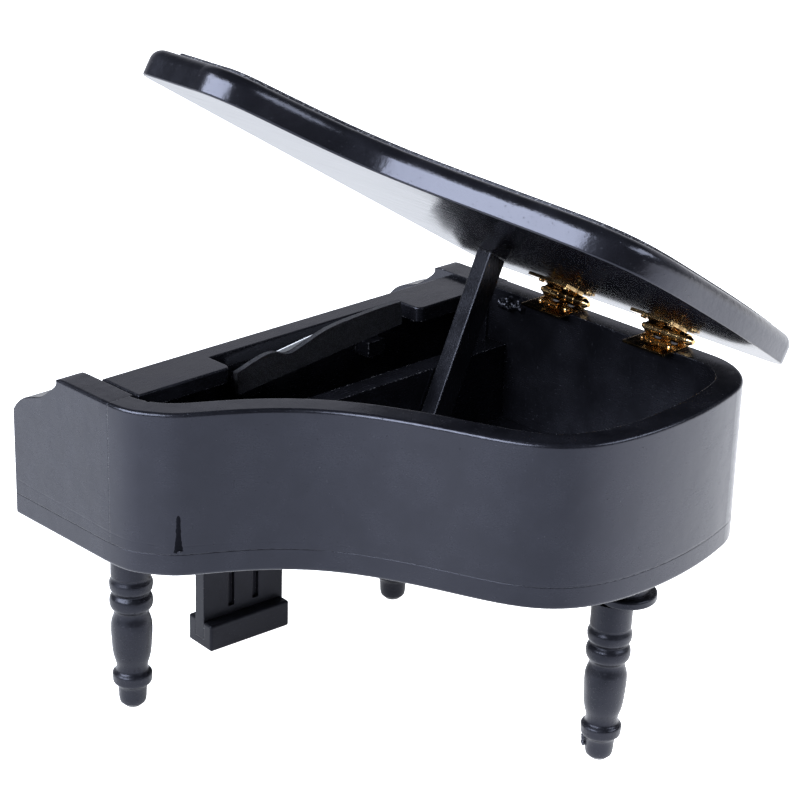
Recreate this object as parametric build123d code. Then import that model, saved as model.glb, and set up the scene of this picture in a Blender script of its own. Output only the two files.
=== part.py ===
from build123d import *
import math
import os

# Miniature grand piano, millimetres, lid propped open.
# Working frame: X to the treble side, Y from the keyboard to the tail, Z up,
# zero at the middle of the case, at the front of the cheeks, on the floor.
# DATUM moves the whole piano so that the origin is under the middle of its box.
DATUM = (2.2, -72.8, 0.0)

# case
CASE_W = 140.0          # across both cheeks
CASE_Z0 = 56.0          # underside of the bottom board
CASE_Z1 = 99.5          # top of the rim
BOARD_T = 6.0           # bottom board thickness
WALL = 7.0              # rim wall thickness
CHEEK_T = 8.0           # keyboard cheek thickness
CHEEK_Y = 40.0          # cheeks run from the front to this line, the rim from there on
FLOOR_Z = CASE_Z0 + BOARD_T
HALF = CASE_W / 2

# plan of the rim, from the treble cheek round the bent side and tail to the spine
BENT_SIDE = [(69.8, 41.8), (68.8, 46.8), (65.9, 51.6), (61.9, 56.1), (56.7, 59.4), (46.3, 65.6), (36.9, 73.1),
             (29.1, 82.5), (22.9, 93.4), (17.7, 105.1), (12.7, 117.1), (6.5, 127.0), (-1.5, 133.2),
             (-10.0, 136.2), (-24.7, 137.8), (-40.0, 136.9), (-52.0, 134.6)]
SPINE_CORNER = (-70.0, 128.5)    # tail meets spine here, before rounding
SPINE_ROUND = 20.0
EDGE_ROUND = 0.9        # outer edges of the case, softened by sanding
CHEEK_ROUND = 0.3       # edges of the shaped cheek tops

# keyboard end
BELLY_Y = (41.0, 47.0)  # cross rail behind the keyboard
BELLY_TOP = 84.0
KEYS_Y = (3.5, 25.0)
KEYS_TOP = 75.0
FRONT_BOARD = (-61.8, 59.5, 24.4, 39.0, 94.4, 98.4)   # x0, x1, y0, y1, z0, z1
NOTCH = (-36.5, 29.7, 30.5)                           # x0, x1 and front of the desk notch
DESK_TILT = 5.6         # the music desk sits a little crooked in its notch

# lid and hinges
LID_ANGLE = 31.3        # propped open
AXIS_X, AXIS_Z = -68.74, 101.3
AXIS_TO_LID = 2.0       # hinge axis to the underside of the lid
LID_T, LID_STEP = 7.5, 1.1
LID_ROUND = 3.2
PANEL_IN = 6.2          # raised panel of the lid, in from the lid's outline
LID_SIDE_X = 72.0
LID_Y0 = 27.0
LID_SIDE = [(70.6, 57.0), (66.6, 61.6), (60.8, 64.6), (52.0, 68.6), (43.0, 74.2), (36.4, 81.6),
            (32.2, 90.8), (29.0, 102.0), (26.2, 113.5), (23.4, 125.0), (19.0, 135.2), (11.8, 142.2),
            (1.5, 145.2), (-14.0, 145.2), (-32.0, 144.0), (-50.0, 141.6)]
LID_CORNER = (-71.0, 137.0)
LID_CORNER_ROUND = 10.0
HINGE_Y = (63.0, 99.6)
HINGE_L = 14.0
KNUCKLES = 5
KNUCKLE_R = 1.7
PIN_R = 0.6
LEAF_T = 0.6
LEAF_IN = 10.0          # hinge axis to the free edge of a leaf
NAIL_R = 0.45

# prop stick
PROP_Y = (47.35, 52.35)
PROP_T = 6.8
PROP_LEAN = 24.7        # from upright, towards the spine
PROP_PIVOT = (-31.1, 66.6)
PROP_PIN_R = 1.2
RUN_FIT = 0.05          # radial clearance of moving pins

# legs and pedal lyre
FRONT_LEG = (48.2, 20.0)
TAIL_LEG_FOOT = (-26.1, 121.1)
TAIL_LEG_TOP = (-27.1, 122.1)
TAIL_PLINTH = (-29.9, 123.7)                          # glued on a little off the leg's axis
PLINTH_R, PLINTH_T, NECK_R = 7.9, 2.4, 6.0
TENON_R, TENON_L = 2.0, 4.0
LYRE_AT, LYRE_TURN = (0.8, 8.1), -4.0                 # the lyre was glued on a little askew
LYRE_X = (-13.7, 13.7)
LYRE_BASE_Y = (-5.4, 5.4)
LYRE_BASE_Z = (0.4, 8.4)
LYRE_BOARD_Y = (-2.0, 2.0)
LYRE_GROOVE_Z = 3.0

parts = {}


def box(x0, x1, y0, y1, z0, z1):
    """Axis-aligned block between two corners."""
    size = Box(x1 - x0, y1 - y0, z1 - z0)
    return Pos((x0 + x1) / 2, (y0 + y1) / 2, (z0 + z1) / 2) * size


def rod_y(x, z, radius, y0, y1):
    """Round rod along Y."""
    return Pos(x, (y0 + y1) / 2, z) * Rot(90, 0, 0) * Cylinder(radius, y1 - y0)


def plan_face(x1, y0, side, y_straight, end, corner_round, front_round=0.0, inset=0.0):
    """Plan outline: straight front and treble side, one smooth curve, straight spine.
    A positive inset draws the same outline that far inside itself."""
    points = [(x1, y_straight)] + side + [end]
    if inset:
        outer = Spline(points)
        x1, y0, spine_x = x1 - inset, y0 + inset, end[0] + inset
        points = [(x1, y_straight)]
        for i in range(1, 29):
            at, along = outer @ (i / 30), outer % (i / 30)
            points.append((at.X - along.Y * inset, at.Y + along.X * inset))
        (xa, ya), (xb, yb) = points[-2:]
        end = (spine_x, yb + (spine_x - xb) * (yb - ya) / (xb - xa))
        points.append(end)
        front_round = max(front_round - inset, 0.0)
    curve = Spline(points)
    run = Polyline([end, (end[0], y0), (x1, y0), (x1, y_straight)])
    face = make_face(Wire([curve] + list(run.edges())))
    face = fillet([v for v in face.vertices() if abs(v.Y - end[1]) < 0.01], max(corner_round - inset, 4.0))
    if front_round > 0.3:
        face = fillet([v for v in face.vertices() if abs(v.Y - y0) < 0.01], front_round)
    return face


def slab(face, z0, z1):
    return Pos(0, 0, z0) * extrude(face, z1 - z0, dir=(0, 0, 1))


# --- case -------------------------------------------------------------------
case_plan = plan_face(HALF, 0.0, BENT_SIDE, 37.0, SPINE_CORNER, SPINE_ROUND, front_round=EDGE_ROUND)
cavity_plan = plan_face(HALF, 0.0, BENT_SIDE, 37.0, SPINE_CORNER, SPINE_ROUND, inset=WALL)
rear_half = box(-100, 100, CHEEK_Y, 200, 0, 200)
cavity = slab(cavity_plan, FLOOR_Z, 120)

bottom = slab(case_plan, CASE_Z0, FLOOR_Z)
bottom = fillet(bottom.edges().group_by(Axis.Z)[0], EDGE_ROUND)
case_column = slab(case_plan, FLOOR_Z, CASE_Z1)
case_column = fillet(case_column.edges().group_by(Axis.Z)[-1], EDGE_ROUND)
rim = (case_column & rear_half) - cavity
rim -= box(-HALF + WALL, HALF - CHEEK_T, CHEEK_Y - 1, CHEEK_Y + 6, FLOOR_Z, 120)
belly = box(-HALF, HALF, *BELLY_Y, FLOOR_Z, BELLY_TOP) & cavity

# shallow seats in the rim for the lower hinge leaves
for y in HINGE_Y:
    rim -= box(-HALF - 1, -HALF + 12, y - HINGE_L / 2 - 0.4, y + HINGE_L / 2 + 0.4, CASE_Z1 - 0.3, 110)

cheek_top = Spline([(0, 83.0), (1.8, 87.2), (5.6, 90.1), (12.2, 92.4), (16.0, 95.0), (19.2, 98.3),
                    (22.5, CASE_Z1)], tangents=[(0, 1), (1, 0)])
cheek_rest = Polyline([(22.5, CASE_Z1), (CHEEK_Y, CASE_Z1), (CHEEK_Y, FLOOR_Z), (0, FLOOR_Z), (0, 83.0)])
cheek_side = make_face(Wire([cheek_top] + list(cheek_rest.edges())))
cheek = extrude(Plane.YZ * cheek_side, CHEEK_T, dir=(1, 0, 0))
outline = [e for e in cheek.edges() if abs(e.center().X - CHEEK_T) < 0.01
           and e.center().Y < CHEEK_Y - 1 and e.center().Z > FLOOR_Z + 1]
cheek = fillet(outline, CHEEK_ROUND)
treble_cheek = (Pos(HALF - CHEEK_T, 0, 0) * cheek) & case_column
bass_cheek = mirror(Pos(HALF - CHEEK_T, 0, 0) * cheek, Plane.YZ)

parts["case_rim"] = rim
parts["treble_cheek"] = treble_cheek
parts["bass_cheek"] = bass_cheek
parts["belly_rail"] = belly

# --- keyboard ---------------------------------------------------------------
inner = HALF - CHEEK_T
parts["key_slip"] = box(-inner, inner, 0.6, 3.2, FLOOR_Z, 72.0)
parts["key_block"] = box(-inner, inner, 3.2, BELLY_Y[0], FLOOR_Z, 70.0)

WHITE_KEYS = 36
key_pitch = 2 * inner / WHITE_KEYS
whites = box(-inner, inner, *KEYS_Y, 70.0, KEYS_TOP)
for i in range(1, WHITE_KEYS):
    x = -inner + i * key_pitch
    whites -= box(x - 0.15, x + 0.15, KEYS_Y[0] - 1, KEYS_Y[1] + 1, KEYS_TOP - 1.2, KEYS_TOP + 1)
parts["white_keys"] = whites

# black keys sit over the gaps between white keys, in twos and threes
OCTAVE_GAPS = (1, 2, 4, 5, 6)
black = []
for i in range(1, WHITE_KEYS):
    if i % 7 in OCTAVE_GAPS:
        x = -inner + i * key_pitch
        key = box(x - 0.85, x + 0.85, 12.0, KEYS_Y[1], KEYS_TOP, KEYS_TOP + 2.2)
        key = chamfer(key.edges().filter_by(Axis.X).group_by(Axis.Z)[-1].sort_by(Axis.Y)[0], 0.9)
        black.append(key)
parts["black_keys"] = Compound(children=black)

# fallboard stands behind the keys and carries the front board
fall = box(-inner, inner, KEYS_Y[1], 28.4, 70.0, FRONT_BOARD[4])
fall = chamfer(fall.edges().filter_by(Axis.X).group_by(Axis.Z)[-1].sort_by(Axis.Y)[0], 1.5)
parts["fallboard"] = fall

fb = box(*FRONT_BOARD) - box(NOTCH[0], NOTCH[1], NOTCH[2], 60, 90, 110)
notch_corners = [e for e in fb.edges().filter_by(Axis.Z)
                 if NOTCH[0] - 1 < e.center().X < NOTCH[1] + 1 and e.center().Y > 38]
fb = fillet(notch_corners, 2.2)
fb = fillet(fb.edges().group_by(Axis.Z)[-1], 0.5)
parts["front_board"] = fb

# music desk: a thin panel with a double-scalloped top, set crooked in the notch
desk_run = Polyline([(-29.2, 3.4), (-29.2, -3.2), (29.0, -3.2), (29.0, 3.0)])
desk_top = Spline([(29.0, 3.0), (22.0, 4.3), (15.4, 4.1), (11.8, 2.4), (7.5, 2.6), (-1.0, 4.3), (-12.0, 4.5),
                   (-21.0, 4.1), (-29.2, 3.4)])
desk_face = make_face(Wire([desk_top] + list(desk_run.edges())))
card_face = make_face(Polyline([(-29.0, -2.6), (25.0, -2.6), (25.0, 3.0), (-9.8, 3.96), (-29.0, 3.2)],
                               close=True))
desk_seat = Pos(-4.0, 0, 94.3) * Rot(0, DESK_TILT, 0)
upright = Plane(origin=(0, 35.8, 0), x_dir=(1, 0, 0), z_dir=(0, -1, 0))
card_plane = Plane(origin=(0, 34.2, 0), x_dir=(1, 0, 0), z_dir=(0, -1, 0))
parts["music_desk"] = desk_seat * extrude(upright * desk_face, 1.6, dir=(0, -1, 0))
parts["music_card"] = desk_seat * extrude(card_plane * card_face, 0.4, dir=(0, -1, 0))
# two small blocks on the fallboard hold the desk
desk_blocks = [box(x - 3, x + 3, 28.4, 33.8, 86.0, 90.2) for x in (-26.0, 18.0)]
parts["desk_blocks"] = Compound(children=desk_blocks)

# --- legs -------------------------------------------------------------------
LEG_TOP = 46.0
LEG_PROFILE = [(5.4, LEG_TOP), (5.4, 38.9), (5.2, 38.2), (5.7, 37.2), (5.8, 35.9), (5.35, 34.4),
               (4.85, 33.7), (5.35, 33.0), (5.75, 32.1), (5.8, 30.8), (5.35, 29.4), (4.75, 28.6), (4.7, 27.6),
               (5.3, 25.6), (5.55, 23.4), (5.4, 19.5), (4.8, 14.5), (4.2, 11.4), (4.4, 10.7), (5.2, 10.0),
               (5.3, 8.6), (5.1, 7.2), (4.25, 6.4), (3.9, 5.4), (3.75, 3.2), (3.4, 1.1)]
side_curve = Spline(LEG_PROFILE[1:])
leg_ends = Polyline([LEG_PROFILE[-1], (2.3, 0), (0, 0), (0, LEG_TOP), *LEG_PROFILE[:2]])
leg_wire = Wire([side_curve] + list(leg_ends.edges()))
leg_half = Plane.XZ * make_face(leg_wire)
leg_turned = revolve(leg_half, Axis.Z)

# the tail leg leans: turn it about its foot so that its top reaches TAIL_LEG_TOP
lean_x = math.degrees(math.atan2(-(TAIL_LEG_TOP[1] - TAIL_LEG_FOOT[1]), CASE_Z0))
lean_y = math.degrees(math.atan2(TAIL_LEG_TOP[0] - TAIL_LEG_FOOT[0], CASE_Z0))
tail_seat = Pos(*TAIL_LEG_FOOT, 0) * Rot(lean_x, lean_y, 0)
below_plinth = box(-100, 100, -50, 200, 0, LEG_TOP)
below_socket = box(-100, 100, -50, 200, 0, CASE_Z0 + TENON_L)
long_tenon = Pos(0, 0, 55) * Cylinder(TENON_R, 22)
long_leg = leg_turned + Pos(0, 0, LEG_TOP) * Cylinder(LEG_PROFILE[0][0], 4)

seats = {"treble": (Pos(*FRONT_LEG, 0), FRONT_LEG), "bass": (Pos(-FRONT_LEG[0], FRONT_LEG[1], 0),
         (-FRONT_LEG[0], FRONT_LEG[1])), "tail": (tail_seat, TAIL_PLINTH)}
for name, (seat, top) in seats.items():
    shaft = (seat * long_leg) & below_plinth
    peg = (seat * long_tenon) & below_socket
    peg &= box(-100, 100, -50, 200, LEG_TOP - 2, 100)
    disc = Pos(*top, LEG_TOP + PLINTH_T / 2) * Cylinder(PLINTH_R, PLINTH_T)
    disc = fillet(disc.edges(), 0.7)
    disc += Pos(*top, (LEG_TOP + CASE_Z0) / 2 + 0.5) * Cylinder(NECK_R, CASE_Z0 - LEG_TOP - 1)
    bottom -= peg
    parts[f"{name}_leg"] = shaft + peg
    parts[f"{name}_leg_plinth"] = disc - peg
parts["bottom_board"] = bottom

# --- pedal lyre -------------------------------------------------------------
lyre = box(*LYRE_X, *LYRE_BOARD_Y, LYRE_GROOVE_Z, CASE_Z0)
lyre_seat = Pos(*LYRE_AT, 0) * Rot(0, 0, LYRE_TURN)
for x in (-4.2, 4.2):
    for y in LYRE_BOARD_Y:
        lyre -= box(x - 1.0, x + 1.0, y - 1.2, y + 1.2, 11.0, CASE_Z0 - 3)
parts["lyre_board"] = lyre_seat * lyre
base = box(*LYRE_X, *LYRE_BASE_Y, *LYRE_BASE_Z)
base = fillet(base.edges(), 0.7)
base -= box(LYRE_X[0] - 1, LYRE_X[1] + 1, *LYRE_BOARD_Y, LYRE_GROOVE_Z, 20)
parts["lyre_base"] = lyre_seat * base

# --- lid, drawn shut and then turned open about the hinge axis ----------------
lid_z = AXIS_Z + AXIS_TO_LID
lid_plan = plan_face(LID_SIDE_X, LID_Y0, LID_SIDE, 49.0, LID_CORNER, LID_CORNER_ROUND, front_round=6.0)
lid = slab(lid_plan, lid_z, lid_z + LID_T)
lid = fillet(lid.edges().group_by(Axis.Z)[-1], LID_ROUND)
lid = fillet(lid.edges().group_by(Axis.Z)[0], 0.5)
panel_plan = plan_face(LID_SIDE_X, LID_Y0, LID_SIDE, 49.0, LID_CORNER, LID_CORNER_ROUND, inset=PANEL_IN)
panel = slab(panel_plan, lid_z + LID_T - 0.5, lid_z + LID_T + LID_STEP)
lid += fillet(panel.edges().group_by(Axis.Z)[-1], 0.4)

open_lid = Pos(AXIS_X, 0, AXIS_Z) * Rot(0, -LID_ANGLE, 0) * Pos(-AXIS_X, 0, -AXIS_Z)


# --- butt hinges --------------------------------------------------------------
def knuckle_spans(y_mid, first):
    """Y spans of every second knuckle of a hinge."""
    pitch = HINGE_L / KNUCKLES
    y0 = y_mid - HINGE_L / 2
    return [(y0 + i * pitch + 0.08, y0 + (i + 1) * pitch - 0.08) for i in range(first, KNUCKLES, 2)]


def leaf(y_mid, z0, first, bore_r, toward):
    """One leaf: a plate beside the barrel, its knuckles and the tabs that join them."""
    y0, y1 = y_mid - HINGE_L / 2, y_mid + HINGE_L / 2
    body = box(AXIS_X + KNUCKLE_R + 0.35, AXIS_X + LEAF_IN, y0, y1, z0, z0 + LEAF_T)
    for a, b in knuckle_spans(y_mid, first):
        body += box(AXIS_X, AXIS_X + KNUCKLE_R + 0.5, a, b, z0, z0 + LEAF_T)
        body += box(AXIS_X - 0.2, AXIS_X + 0.6, a, b, *sorted((z0 + LEAF_T / 2, AXIS_Z - 0.9 * toward)))
        body += rod_y(AXIS_X, AXIS_Z, KNUCKLE_R, a, b)
    return body - rod_y(AXIS_X, AXIS_Z, bore_r, y0 - 1, y1 + 1)


def nail(x, y, z, up, length=2.6):
    """Round-headed hinge nail with its head on the leaf face at z; up is +1 or -1."""
    shank = Pos(x, y, z - up * length / 2) * Cylinder(NAIL_R, length)
    head = Pos(x, y, z) * Sphere(0.85) & box(x - 2, x + 2, y - 2, y + 2, *sorted((z, z + up * 0.5)))
    return shank + head


lower_z = CASE_Z1 - 0.3
upper_z = AXIS_Z + AXIS_TO_LID - LEAF_T
case_nails, lid_nails = [], []
for tag, y in zip(("front", "rear"), HINGE_Y):
    ends = (y - HINGE_L / 2 - 1.5, y + HINGE_L / 2 + 1.5)
    pin = rod_y(AXIS_X, AXIS_Z, PIN_R, *ends)
    for face_y, out in ((y - HINGE_L / 2, -1), (y + HINGE_L / 2, 1)):
        cone = Pos(AXIS_X, face_y + out * 0.9, AXIS_Z) * Rot(-90 * out, 0, 0) * Cone(1.35, 0.7, 1.6)
        pin += cone
    lower = leaf(y, lower_z, 0, PIN_R, 1)
    upper = leaf(y, upper_z, 1, PIN_R + RUN_FIT, -1)
    for dy in (-4.6, 4.6):
        n_case = nail(AXIS_X + 4.6, y + dy, lower_z + LEAF_T, 1)
        n_lid = nail(AXIS_X + 6.6, y + dy, upper_z, -1)
        case_nails.append(n_case)
        lid_nails.append(n_lid)
        lower -= n_case
        upper -= n_lid
        rim -= n_case
        lid -= n_lid
    parts[f"{tag}_hinge_lower_leaf"] = lower
    parts[f"{tag}_hinge_upper_leaf"] = open_lid * upper
    parts[f"{tag}_hinge_pin"] = pin
parts["case_rim"] = rim
parts["case_hinge_nails"] = Compound(children=case_nails)
parts["lid_hinge_nails"] = open_lid * Compound(children=lid_nails)
parts["lid"] = open_lid * lid

# --- prop stick: pinned to the belly rail, its top cut to the lid -------------
stick = box(-PROP_T / 2, PROP_T / 2, *PROP_Y, -PROP_T / 2, 70)
stick = fillet(stick.edges().filter_by(Axis.Y).group_by(Axis.Z)[0], PROP_T / 2 - 0.05)
stick = fillet(stick.edges().filter_by(Axis.Z), 0.3)
stick = Pos(PROP_PIVOT[0], 0, PROP_PIVOT[1]) * Rot(0, -PROP_LEAN, 0) * stick
# the cut is a touch steeper than the lid, so the stick clears it as it folds
bearing_x = -49.4
under_lid = AXIS_Z + AXIS_TO_LID / math.cos(math.radians(LID_ANGLE))
bearing_z = under_lid + (bearing_x - AXIS_X) * math.tan(math.radians(LID_ANGLE)) - 0.12
above = Pos(bearing_x, 50, bearing_z) * Rot(0, -LID_ANGLE - 1.0, 0) * Pos(0, 0, 30) * Box(120, 60, 60)
stick -= above
pivot_hole = rod_y(*PROP_PIVOT, PROP_PIN_R + RUN_FIT, 40, 60)
parts["prop_stick"] = stick - pivot_hole
pin = rod_y(*PROP_PIVOT, PROP_PIN_R, BELLY_Y[0] + 1, PROP_Y[1] + 0.3)
pin += rod_y(*PROP_PIVOT, 2.3, PROP_Y[1] + 0.15, PROP_Y[1] + 1.0)
parts["belly_rail"] = belly - rod_y(*PROP_PIVOT, PROP_PIN_R, BELLY_Y[0] + 1, 60)
parts["prop_pin"] = pin

os.makedirs("parts", exist_ok=True)
for name, shape in parts.items():
    export_step(Pos(*DATUM) * shape, f"parts/{name}.step")
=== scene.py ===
import math
import random

import bmesh
import bpy
from mathutils import Matrix, Vector, noise


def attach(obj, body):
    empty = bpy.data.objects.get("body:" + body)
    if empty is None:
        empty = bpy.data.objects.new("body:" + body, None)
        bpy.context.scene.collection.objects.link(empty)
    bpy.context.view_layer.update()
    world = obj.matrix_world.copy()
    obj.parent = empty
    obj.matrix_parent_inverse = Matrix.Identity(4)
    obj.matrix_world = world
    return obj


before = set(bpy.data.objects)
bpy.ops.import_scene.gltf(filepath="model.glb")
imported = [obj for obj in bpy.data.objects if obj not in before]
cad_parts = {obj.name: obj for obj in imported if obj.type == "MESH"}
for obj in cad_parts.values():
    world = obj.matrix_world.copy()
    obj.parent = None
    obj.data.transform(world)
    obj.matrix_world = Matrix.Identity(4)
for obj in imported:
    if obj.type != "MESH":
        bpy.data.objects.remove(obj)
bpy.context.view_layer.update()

MM = 0.001
DATUM = Vector((2.2, -72.8, 0.0))        # shop-frame zero to the row frame, in mm


def shop(x, y, z):
    """A point given in the piano's workshop frame (mm), in the row frame (m)."""
    return (Vector((x, y, z)) + DATUM) * MM


# --- camera -------------------------------------------------------------------
CAMERA_AT = shop(396.45, 474.35, 324.87)
CAMERA_YAW, CAMERA_PITCH, CAMERA_ROLL = 135.57, 22.42, 1.70     # degrees
CAMERA_LENS = 108.58

yaw, pitch, roll = (math.radians(a) for a in (CAMERA_YAW, CAMERA_PITCH, CAMERA_ROLL))
forward = Vector((-math.sin(yaw) * math.cos(pitch), math.cos(yaw) * math.cos(pitch), -math.sin(pitch)))
right = forward.cross(Vector((0, 0, 1))).normalized()
up = right.cross(forward)
cam_x = right * math.cos(roll) + up * math.sin(roll)
cam_y = -right * math.sin(roll) + up * math.cos(roll)
camera = bpy.data.objects.new("camera", bpy.data.cameras.new("camera"))
bpy.context.collection.objects.link(camera)
camera.matrix_world = Matrix((
    (cam_x.x, cam_y.x, -forward.x, CAMERA_AT[0]),
    (cam_x.y, cam_y.y, -forward.y, CAMERA_AT[1]),
    (cam_x.z, cam_y.z, -forward.z, CAMERA_AT[2]),
    (0, 0, 0, 1)))
camera.data.lens = CAMERA_LENS
camera.data.sensor_width = 36.0
camera.data.clip_start, camera.data.clip_end = 0.01, 50.0
bpy.context.scene.camera = camera
bpy.context.scene.view_settings.view_transform = "Standard"

# --- sizes the materials depend on, in the workshop frame ---------------------
LID_ANGLE = 31.3        # as propped
LID_AXIS = (-68.74, 0.0, 101.3)
UNDER_TILT = 0.055      # tilt of the underside's shading only, tuned so that it mirrors the case
PANEL_FOOT = 9.5        # hinge axis to the foot of the raised panel, across the lid
BOARD_TOP = 62.0        # joint between the bottom board and the walls


# --- node graphs --------------------------------------------------------------
class Graph:
    """Shader nodes of one material, written as nested calls."""

    def __init__(self, name, data=None):
        self.mat = data or bpy.data.materials.new(name)
        self.mat.use_nodes = True
        self.tree = self.mat.node_tree
        self.tree.nodes.clear()

    def node(self, kind, inputs=None, out=0, **props):
        """Makes a node, sets its properties, feeds its inputs, returns one output socket."""
        n = self.tree.nodes.new(kind)
        for key, value in props.items():
            setattr(n, key, value)
        for key, value in (inputs or {}).items():
            self.feed(n.inputs[key], value)
        return n.outputs[out]

    def feed(self, socket, value):
        if isinstance(value, bpy.types.NodeSocket):
            self.tree.links.new(value, socket)
        else:
            socket.default_value = value

    def math(self, op, a, b=0.0, clamp=False):
        return self.node("ShaderNodeMath", {0: a, 1: b}, operation=op, use_clamp=clamp)

    def mm(self):
        """Object coordinates in millimetres."""
        at = self.node("ShaderNodeTexCoord", out="Object")
        return self.node("ShaderNodeVectorMath", {0: at, "Scale": 1000.0}, operation="SCALE")

    def stretched(self, at, scale):
        return self.node("ShaderNodeVectorMath", {0: at, 1: scale}, operation="MULTIPLY")

    def noise(self, at, scale=1.0, detail=3.0, rough=0.55, warp=0.0):
        return self.node("ShaderNodeTexNoise", {"Vector": at, "Scale": scale, "Detail": detail,
                                                "Roughness": rough, "Distortion": warp})

    def span(self, value, a, b, lo=0.0, hi=1.0, smooth=False):
        """Value from a..b mapped to lo..hi and clamped."""
        return self.node("ShaderNodeMapRange", {"Value": value, "From Min": a, "From Max": b,
                                                "To Min": lo, "To Max": hi},
                         interpolation_type="SMOOTHSTEP" if smooth else "LINEAR", clamp=True)

    def mix(self, factor, a, b):
        n = self.tree.nodes.new("ShaderNodeMix")
        n.data_type = "RGBA"
        for socket, value in ((n.inputs[0], factor), (n.inputs[6], a), (n.inputs[7], b)):
            self.feed(socket, value)
        return n.outputs[2]

    def blend(self, factor, a, b):
        n = self.tree.nodes.new("ShaderNodeMix")
        n.data_type = "FLOAT"
        for socket, value in ((n.inputs[0], factor), (n.inputs[2], a), (n.inputs[3], b)):
            self.feed(socket, value)
        return n.outputs[0]

    def bump(self, height_mm, normal=None):
        inputs = {"Height": height_mm, "Distance": MM, "Strength": 1.0}
        if normal:
            inputs["Normal"] = normal
        return self.node("ShaderNodeBump", inputs)

    def finish(self, **inputs):
        shader = self.tree.nodes.new("ShaderNodeBsdfPrincipled")
        names = {"color": "Base Color", "rough": "Roughness", "metal": "Metallic", "normal": "Normal",
                 "ior": "IOR", "coat": "Coat Weight", "coat_rough": "Coat Roughness",
                 "specular": "Specular IOR Level", "tint": "Specular Tint"}
        for key, value in inputs.items():
            self.feed(shader.inputs[names[key]], value)
        out = self.tree.nodes.new("ShaderNodeOutputMaterial")
        self.tree.links.new(shader.outputs[0], out.inputs[0])
        return self.mat


PAINT = (0.0042, 0.0043, 0.0058, 1)
PAINT_PALE = (0.0080, 0.0082, 0.0110, 1)
CHIP = (0.42, 0.42, 0.46, 1)
COOL_GLOSS = (0.80, 0.82, 1.0, 1)


def edge_mask(g, radius_mm):
    """1 along sharp edges, 0 on open faces, and the rounded normal of those edges."""
    round_normal = g.node("ShaderNodeBevel", {"Radius": radius_mm * MM}, samples=6)
    face_normal = g.node("ShaderNodeNewGeometry", out="Normal")
    dot = g.node("ShaderNodeVectorMath", {0: round_normal, 1: face_normal}, out="Value",
                 operation="DOT_PRODUCT")
    return g.span(dot, 0.985, 0.86), round_normal


def lacquer(name, grain=(0.25, 0.25, 2.2), rough=(0.16, 0.28), streak=0.006, peel=0.008, chips=0.60,
            specks=0.72, radius=0.45, seam=False, gloss=0.5, wave=0.0):
    """Brushed black lacquer on wood: uneven gloss, brush lines, orange peel, dust nibs, edge chips."""
    g = Graph(name)
    at = g.mm()
    brush = g.noise(g.stretched(at, grain), 1.0, 4.0, 0.6)
    cloud = g.noise(at, 0.11, 3.0, 0.5)
    orange = g.noise(at, 0.9, 2.0, 0.5)
    dust = g.noise(at, 1.9, 1.0, 0.4)
    nib = g.span(dust, specks, specks + 0.05)
    edge, rounded = edge_mask(g, radius)
    flaky = g.noise(at, 1.5, 4.0, 0.7)
    chip = g.math("MULTIPLY", edge, g.span(flaky, chips, chips + 0.05))
    if seam:
        chip = g.math("MULTIPLY", chip, g.span(joint_distance(g, at), 0.7, 1.4))
    color = g.mix(g.span(cloud, 0.35, 0.7), PAINT, PAINT_PALE)
    color = g.mix(chip, color, CHIP)
    roughness = g.span(g.math("ADD", brush, cloud), 0.75, 1.3, rough[0], rough[1])
    roughness = g.math("ADD", roughness, g.math("MULTIPLY", chip, 0.3))
    height = g.math("MULTIPLY", brush, streak)
    height = g.math("ADD", height, g.math("MULTIPLY", orange, peel))
    height = g.math("ADD", height, g.math("MULTIPLY", nib, 0.05))
    height = g.math("ADD", height, g.math("MULTIPLY", g.noise(at, 0.13, 2.0, 0.5), wave))
    height = g.math("SUBTRACT", height, g.math("MULTIPLY", chip, 0.05))
    if seam:
        height = g.math("SUBTRACT", height, seam_line(g, at))
    return g.finish(color=color, rough=roughness, normal=g.bump(height, rounded), specular=gloss,
                    tint=COOL_GLOSS)


def joint_distance(g, at):
    """Height above or below the glued joint between the bottom board and the walls, mm."""
    z = g.node("ShaderNodeSeparateXYZ", {0: at}, out="Z")
    return g.math("ABSOLUTE", g.math("SUBTRACT", z, BOARD_TOP))


def seam_line(g, at):
    """Faint line where the bottom board was glued on, filled unevenly with paint."""
    axes = g.node("ShaderNodeSeparateXYZ", {0: at}, out="Y")
    z = g.tree.nodes[-1].outputs["Z"]
    line = g.math("ADD", g.math("MULTIPLY", axes, -0.027), 64.0)
    away = g.math("ABSOLUTE", g.math("SUBTRACT", z, line))
    groove = g.span(away, 0.35, 0.05)
    uneven = g.span(g.noise(at, 0.16, 3.0), 0.35, 0.65, 0.1, 1.0)
    return g.math("MULTIPLY", g.math("MULTIPLY", groove, uneven), 0.05)


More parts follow.
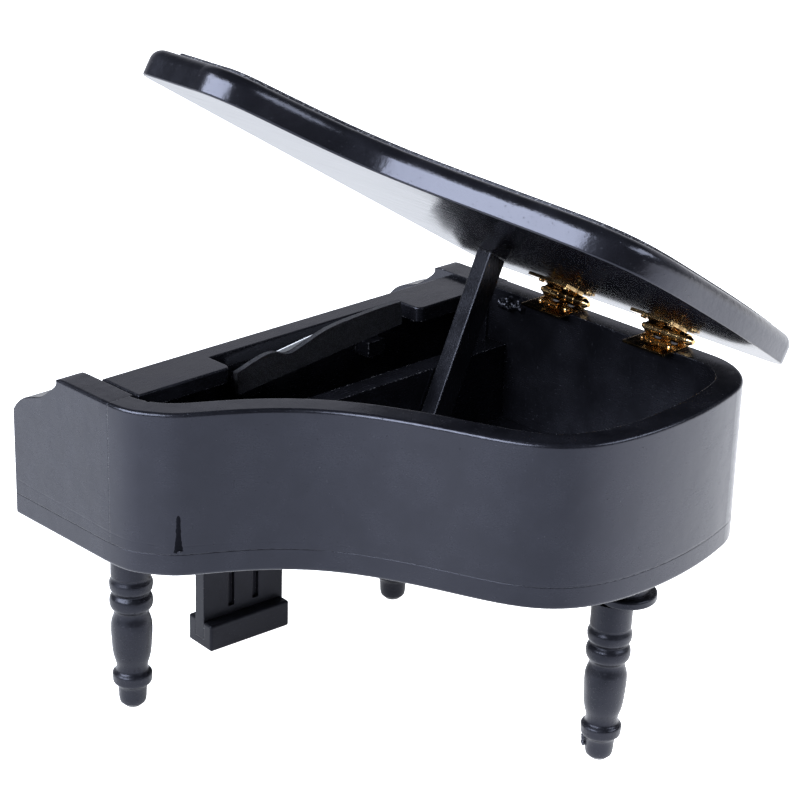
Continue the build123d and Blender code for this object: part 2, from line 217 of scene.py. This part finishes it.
def lid_lacquer(name):
    """Lid: polished underside with fine lengthwise scratches, wet-looking paint on the rounded edges,
    and dry rough paint on the little step round the raised panel."""
    g = Graph(name)
    at = g.mm()
    tilt = math.radians(LID_ANGLE)
    across = (-math.sin(tilt), 0.0, math.cos(tilt))
    normal = g.node("ShaderNodeTexCoord", out="Normal")
    facing = g.node("ShaderNodeVectorMath", {0: normal, 1: across}, out="Value", operation="DOT_PRODUCT")
    height = g.node("ShaderNodeVectorMath", {0: at, 1: across}, out="Value", operation="DOT_PRODUCT")
    below = g.span(facing, -0.93, -0.98)
    step_foot = shop(*LID_AXIS).dot(Vector(across)) / MM + PANEL_FOOT
    step = g.math("MULTIPLY", g.span(height, step_foot - 0.15, step_foot + 0.05),
                  g.span(facing, 0.93, 0.80))
    edge, rounded = edge_mask(g, 0.3)
    flaky = g.noise(at, 1.3, 4.0, 0.7)
    chip = g.math("MULTIPLY", edge, g.span(flaky, 0.60, 0.65))
    crumb = g.math("MULTIPLY", step, g.span(g.noise(at, 1.6, 3.0, 0.7), 0.52, 0.58))
    scratch = g.noise(g.stretched(at, (1.7, 0.05, 1.7)), 1.0, 4.0, 0.65)
    orange = g.noise(at, 0.55, 3.0, 0.5)
    cloud = g.noise(at, 0.09, 2.0, 0.5)
    nib = g.span(g.noise(at, 1.7, 1.0, 0.4), 0.74, 0.79)
    color = g.mix(g.span(cloud, 0.35, 0.7), PAINT, PAINT_PALE)
    color = g.mix(g.math("MAXIMUM", chip, g.math("MULTIPLY", crumb, 0.35)), color, CHIP)
    roughness = g.blend(below, g.span(cloud, 0.3, 0.7, 0.19, 0.26), g.span(scratch, 0.35, 0.65, 0.10, 0.19))
    roughness = g.blend(step, roughness, 0.55)
    rest = g.math("ADD", g.math("MULTIPLY", orange, 0.065), g.math("MULTIPLY", nib, 0.05))
    rest = g.math("ADD", rest, g.math("MULTIPLY", crumb, 0.12))
    along = (math.cos(tilt), 0.0, math.sin(tilt))
    reach = g.node("ShaderNodeVectorMath", {0: at, 1: along}, out="Value", operation="DOT_PRODUCT")
    under = g.math("SUBTRACT", g.math("MULTIPLY", scratch, 0.0035), g.math("MULTIPLY", reach, UNDER_TILT))
    relief = g.blend(below, rest, under)
    relief = g.math("SUBTRACT", relief, g.math("MULTIPLY", chip, 0.06))
    return g.finish(color=color, rough=roughness, normal=g.bump(relief, rounded), tint=COOL_GLOSS)


def grained_black(name):
    """Coarse leather-like grain under black paint."""
    g = Graph(name)
    at = g.mm()
    cells = g.node("ShaderNodeTexVoronoi", {"Vector": at, "Scale": 2.4, "Randomness": 1.0},
                   feature="DISTANCE_TO_EDGE")
    fine = g.noise(at, 4.0, 3.0, 0.6)
    crease = g.span(cells, 0.0, 0.16)
    pale = g.span(g.noise(at, 2.6, 2.0, 0.6), 0.46, 0.66)
    color = g.mix(pale, (0.012, 0.012, 0.015, 1), (0.055, 0.056, 0.068, 1))
    height = g.math("ADD", g.math("MULTIPLY", crease, 0.10), g.math("MULTIPLY", fine, 0.08))
    return g.finish(color=color, rough=g.span(fine, 0.3, 0.7, 0.30, 0.55), normal=g.bump(height))


def brass(name):
    """Stamped brass sheet, mirror-smooth, darkened in patches, rubbed bright on edges."""
    g = Graph(name)
    at = g.mm()
    edge, rounded = edge_mask(g, 0.14)
    tarnish = g.span(g.noise(at, 0.45, 3.0, 0.6), 0.42, 0.66)
    worn = g.math("MULTIPLY", tarnish, g.math("SUBTRACT", 1.0, edge), clamp=True)
    color = g.mix(worn, (0.80, 0.56, 0.27, 1), (0.19, 0.11, 0.048, 1))
    roll = g.noise(g.stretched(at, (4.0, 0.3, 4.0)), 1.0, 3.0, 0.6)
    relief = g.math("ADD", g.math("MULTIPLY", roll, 0.0016), g.math("MULTIPLY", tarnish, 0.0012))
    return g.finish(color=color, metal=1.0, rough=g.span(roll, 0.3, 0.7, 0.06, 0.14),
                    normal=g.bump(relief, rounded))


def ivory(name):
    """Satin white paint with a slight yellowing and brush lines along the keys."""
    g = Graph(name)
    at = g.mm()
    tone = g.noise(at, 0.12, 3.0, 0.5)
    brush = g.noise(g.stretched(at, (3.0, 0.3, 2.0)), 1.0, 3.0, 0.6)
    color = g.mix(g.span(tone, 0.3, 0.7), (0.80, 0.79, 0.74, 1), (0.71, 0.69, 0.61, 1))
    return g.finish(color=color, rough=g.span(brush, 0.3, 0.7, 0.28, 0.42),
                    normal=g.bump(g.math("MULTIPLY", brush, 0.012)))


def card(name):
    """White card with a faint paper fibre."""
    g = Graph(name)
    at = g.mm()
    fibre = g.noise(g.stretched(at, (3.0, 3.0, 9.0)), 1.0, 5.0, 0.7)
    color = g.mix(g.span(fibre, 0.3, 0.7), (0.84, 0.85, 0.88, 1), (0.76, 0.77, 0.80, 1))
    return g.finish(color=color, rough=g.span(fibre, 0.3, 0.7, 0.75, 0.9),
                    normal=g.bump(g.math("MULTIPLY", fibre, 0.02)))


def steel(name):
    """Blackened wire with bare metal where it rubs."""
    g = Graph(name)
    at = g.mm()
    rub = g.span(g.noise(at, 2.2, 4.0, 0.6), 0.5, 0.62)
    color = g.mix(rub, (0.05, 0.05, 0.055, 1), (0.38, 0.38, 0.40, 1))
    return g.finish(color=color, metal=g.span(rub, 0.0, 1.0, 0.2, 1.0), rough=0.35,
                    normal=g.bump(g.math("MULTIPLY", rub, 0.01)))


# --- materials on the CAD nodes -----------------------------------------------
case_paint = lacquer("case_lacquer", grain=(0.35, 0.35, 2.6), rough=(0.20, 0.30), seam=True, wave=0.10)
cheek_paint = lacquer("cheek_lacquer", grain=(0.3, 0.3, 2.0), rough=(0.22, 0.32), seam=True, wave=0.16)
inside_paint = lacquer("inner_board_lacquer", grain=(0.3, 2.0, 2.0), rough=(0.20, 0.34), chips=0.53)
leg_paint = lacquer("turned_leg_lacquer", grain=(0.4, 0.4, 1.6), rough=(0.26, 0.40), peel=0.02,
                    chips=0.62, specks=0.66, radius=0.3, gloss=0.35)
lyre_paint = lacquer("lyre_lacquer", grain=(0.3, 2.0, 2.0), rough=(0.34, 0.46), chips=0.64, gloss=0.25)
prop_paint = lacquer("prop_lacquer", grain=(2.4, 2.4, 0.2), rough=(0.20, 0.34), streak=0.02,
                     chips=0.50, gloss=0.35)
key_paint = lacquer("black_key_lacquer", grain=(2.4, 0.3, 2.4), rough=(0.12, 0.2), chips=0.66, radius=0.2)
lid_paint = lid_lacquer("lid_lacquer")

NODE_PAINT = {"lid": lid_paint, "music_desk": grained_black("desk_grain"), "music_card": card("white_card"),
              "white_keys": ivory("ivory_paint"), "black_keys": key_paint, "prop_stick": prop_paint,
              "prop_pin": steel("steel_pin"), "case_rim": case_paint, "bottom_board": case_paint,
              "treble_cheek": cheek_paint, "bass_cheek": cheek_paint, "lyre_board": lyre_paint,
              "lyre_base": lyre_paint}
brass_sheet = brass("hinge_brass")
for name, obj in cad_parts.items():
    if "hinge" in name:
        paint = brass_sheet
    elif "leg" in name:
        paint = leg_paint
    else:
        paint = NODE_PAINT.get(name, inside_paint)
    obj.data.materials.clear()
    obj.data.materials.append(paint)


# --- details made one by one ----------------------------------------------------
def mesh_piece(name, bm, paint, body, smooth=True):
    mesh = bpy.data.meshes.new(name)
    bm.to_mesh(mesh)
    bm.free()
    mesh.materials.append(paint)
    for face in mesh.polygons:
        face.use_smooth = smooth
    obj = bpy.data.objects.new(name, mesh)
    bpy.context.collection.objects.link(obj)
    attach(obj, body)
    return obj


def lump(bm, centre, size, seed, rough=0.28):
    """Adds one knobbly drop of paint: centre in metres, half sizes in mm."""
    made = bmesh.ops.create_icosphere(bm, subdivisions=3, radius=1.0)
    for v in made["verts"]:
        wobble = 1.0 + rough * noise.noise(v.co * 1.8 + Vector((seed, seed * 2, 0)))
        v.co = Vector((v.co.x * size[0], v.co.y * size[1], v.co.z * size[2])) * wobble * MM + centre


wet_paint = lacquer("wet_paint", grain=(1.0, 1.0, 1.0), rough=(0.05, 0.12), peel=0.05, specks=0.62)

# run of glue and paint inside the spine wall, in front of the first hinge
rng = random.Random(7)
bm = bmesh.new()
for i in range(9):
    y = 44.5 + i * 1.0
    at = shop(-62.6 + rng.uniform(-0.3, 0.3), y, 96.6 + rng.uniform(-1.4, 1.6))
    lump(bm, at, (rng.uniform(0.9, 1.4), rng.uniform(0.9, 1.5), rng.uniform(0.9, 1.7)), i)
mesh_piece("glue_run", bm, wet_paint, "case")

# bead of paint that dried on the side of the tail foot
bm = bmesh.new()
for i, z in enumerate((3.9, 5.2, 6.3)):
    lump(bm, shop(-26.1 + 0.714 * 4.0, 121.1 - 0.70 * 4.0, z), (0.8, 0.8, 0.9), 20 + i)
mesh_piece("foot_paint_bead", bm, wet_paint, "case")

# split at the foot of the bent side: a sheet of painted shade with almost no gloss for its dark gap, wide
# at the bottom, with paint drops caught in it
SPLIT_AT, SPLIT_ALONG = (61.0, 56.0), (0.84, -0.53)
SPLIT_Z = (61.2, 72.6)
SPLIT_ROWS, SPLIT_COLS = 24, 6
SPLIT_DROPS = ((-0.75, 61.5), (0.0, 61.1), (0.62, 61.4), (-0.3, 62.9), (1.0, 61.0), (-1.1, 61.0))
# painted shade: almost no gloss, so the sheet reads as the dark gap of the split
split_shade_paint = lacquer("split_painted_shade", grain=(2.0, 2.0, 0.3), rough=(0.10, 0.2), streak=0.03, gloss=0.02)
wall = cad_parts["case_rim"]


def on_wall(x, y, z, lift):
    """Nearest point of the bent side to a shop point, lifted off it by lift mm."""
    to_wall = wall.matrix_world.inverted()
    _, point, normal, _ = wall.closest_point_on_mesh(to_wall @ shop(x, y, z))
    return wall.matrix_world @ (point + normal * lift * MM), normal


bm = bmesh.new()
grid = []
for i in range(SPLIT_ROWS + 1):
    t = i / SPLIT_ROWS
    z = SPLIT_Z[0] + (SPLIT_Z[1] - SPLIT_Z[0]) * t
    half = 0.42 + 0.50 * (1 - t) + 0.75 * (1 - t) ** 6 + rng.uniform(-0.08, 0.08)
    if i == SPLIT_ROWS:
        half = 0.2
    row = []
    for j in range(SPLIT_COLS + 1):
        s = 2 * j / SPLIT_COLS - 1
        lift = 0.03 + (1 - s * s) * (0.10 + rng.uniform(-0.05, 0.05))
        x, y = (SPLIT_AT[k] + SPLIT_ALONG[k] * s * half for k in (0, 1))
        row.append(bm.verts.new(on_wall(x, y, z, lift)[0]))
    grid.append(row)
for low, high in zip(grid, grid[1:]):
    for j in range(SPLIT_COLS):
        bm.faces.new((low[j], low[j + 1], high[j + 1], high[j]))
bmesh.ops.recalc_face_normals(bm, faces=bm.faces)
outward = on_wall(*SPLIT_AT, 65.0, 0.0)[1]
if sum((f.normal.dot(outward) for f in bm.faces)) < 0:
    bmesh.ops.reverse_faces(bm, faces=bm.faces)
mesh_piece("side_split_shade", bm, split_shade_paint, "case")

bm = bmesh.new()
for k, (s, z) in enumerate(SPLIT_DROPS):
    x, y = (SPLIT_AT[n] + SPLIT_ALONG[n] * s for n in (0, 1))
    lump(bm, on_wall(x, y, z, 0.12)[0], (0.42, 0.42, 0.34), 40 + k)
mesh_piece("split_paint_drops", bm, wet_paint, "case")


# --- stage: pale floor glowing with painted light and shade, two soft boxes, a lit backdrop, dim studio above ------
DIM_SIDE = (0.50, 0.866, 0.0)
# glow of the floor: painted light on the bright front and rear sides, painted shade on the dim side
FLOOR_BRIGHT, FLOOR_DIM, FLOOR_REAR = 0.62, 0.10, 0.95
REAR_SIDE = (-0.80, 0.60, 0.0)
BACKDROP_SIDE = (-0.695, -0.719, 0.0)


def floor_material():
    """Pale paper glowing with painted light: bright in front and behind, painted shade where the
    photographer stands, white to the camera.
    """
    g = Graph("floor_paper_and_painted_light")
    at = g.mm()
    tone = g.span(g.noise(at, 0.02, 2.0), 0.3, 0.7)
    flat = g.node("ShaderNodeVectorMath", {0: at}, operation="NORMALIZE")
    towards = g.node("ShaderNodeVectorMath", {0: flat, 1: DIM_SIDE}, out="Value", operation="DOT_PRODUCT")
    shader = g.tree.nodes.new("ShaderNodeBsdfPrincipled")
    g.feed(shader.inputs["Base Color"], g.mix(tone, (0.80, 0.80, 0.81, 1), (0.78, 0.78, 0.79, 1)))
    shader.inputs["Roughness"].default_value = 1.0
    shader.inputs["Specular IOR Level"].default_value = 0.0
    shader.inputs["Emission Color"].default_value = (0.97, 0.975, 1.0, 1)
    rear = g.node("ShaderNodeVectorMath", {0: flat, 1: REAR_SIDE}, out="Value", operation="DOT_PRODUCT")
    # painted light and painted shade: the floor's glow set by direction round the piano
    floor_painted_light = g.math("ADD", g.span(towards, 0.25, 0.95, FLOOR_BRIGHT, FLOOR_DIM, True),
                  g.span(rear, 0.2, 0.9, 0.0, FLOOR_REAR, True))
    seen = g.node("ShaderNodeLightPath", out="Is Camera Ray")
    g.feed(shader.inputs["Emission Strength"], g.math("ADD", floor_painted_light, seen))
    out = g.tree.nodes.new("ShaderNodeOutputMaterial")
    g.tree.links.new(shader.outputs[0], out.inputs[0])
    return g.mat


bm = bmesh.new()
bmesh.ops.create_grid(bm, x_segments=1, y_segments=1, size=12.0)
mesh = bpy.data.meshes.new("floor")
bm.to_mesh(mesh)
bm.free()
mesh.materials.append(floor_material())
floor = bpy.data.objects.new("floor", mesh)
floor.location.z = -0.00002
bpy.context.collection.objects.link(floor)


def soft_box(name, azimuth, elevation, distance, width, height, radiance, color):
    """Rectangular light facing the piano. Azimuth 0 is at -Y and 90 at +X."""
    a, e = math.radians(azimuth), math.radians(elevation)
    towards = Vector((math.sin(a) * math.cos(e), -math.cos(a) * math.cos(e), math.sin(e)))
    light = bpy.data.lights.new(name, "AREA")
    light.shape = "RECTANGLE"
    light.size, light.size_y = width, height
    light.energy = radiance * math.pi * width * height
    light.color = color
    obj = bpy.data.objects.new(name, light)
    obj.location = Vector((0, 0, 0.1)) + towards * distance
    obj.rotation_mode = "QUATERNION"
    obj.rotation_quaternion = towards.to_track_quat("Z", "Y")
    bpy.context.collection.objects.link(obj)


COOL = (0.85, 0.91, 1.0)
soft_box("key_soft_box", 82, 37, 1.1, 1.06, 0.62, 14.8, COOL)
soft_box("rim_soft_box", -150, 34, 1.1, 0.75, 0.34, 7.0, COOL)

world = bpy.data.worlds.new("studio")
bpy.context.scene.world = world
g = Graph("studio", world)
incoming = g.node("ShaderNodeTexCoord", out="Generated")
height = g.node("ShaderNodeSeparateXYZ", {0: incoming}, out="Z")
dim = g.mix(g.span(height, 0.0, 0.9), (0.10, 0.105, 0.12, 1), (0.05, 0.052, 0.06, 1))
side = g.node("ShaderNodeVectorMath", {0: incoming, 1: BACKDROP_SIDE}, out="Value", operation="DOT_PRODUCT")
lit = g.math("MULTIPLY", g.span(side, 0.25, 0.80, smooth=True), g.span(height, 0.66, 0.28, smooth=True))
dim = g.mix(lit, dim, (0.60, 0.61, 0.68, 1))
seen = g.node("ShaderNodeLightPath", out="Is Camera Ray")
sky = g.mix(seen, dim, (1.0, 1.0, 1.0, 1))
background = g.node("ShaderNodeBackground", {"Color": sky, "Strength": 1.0})
world_out = g.tree.nodes.new("ShaderNodeOutputWorld")
g.tree.links.new(background, world_out.inputs[0])
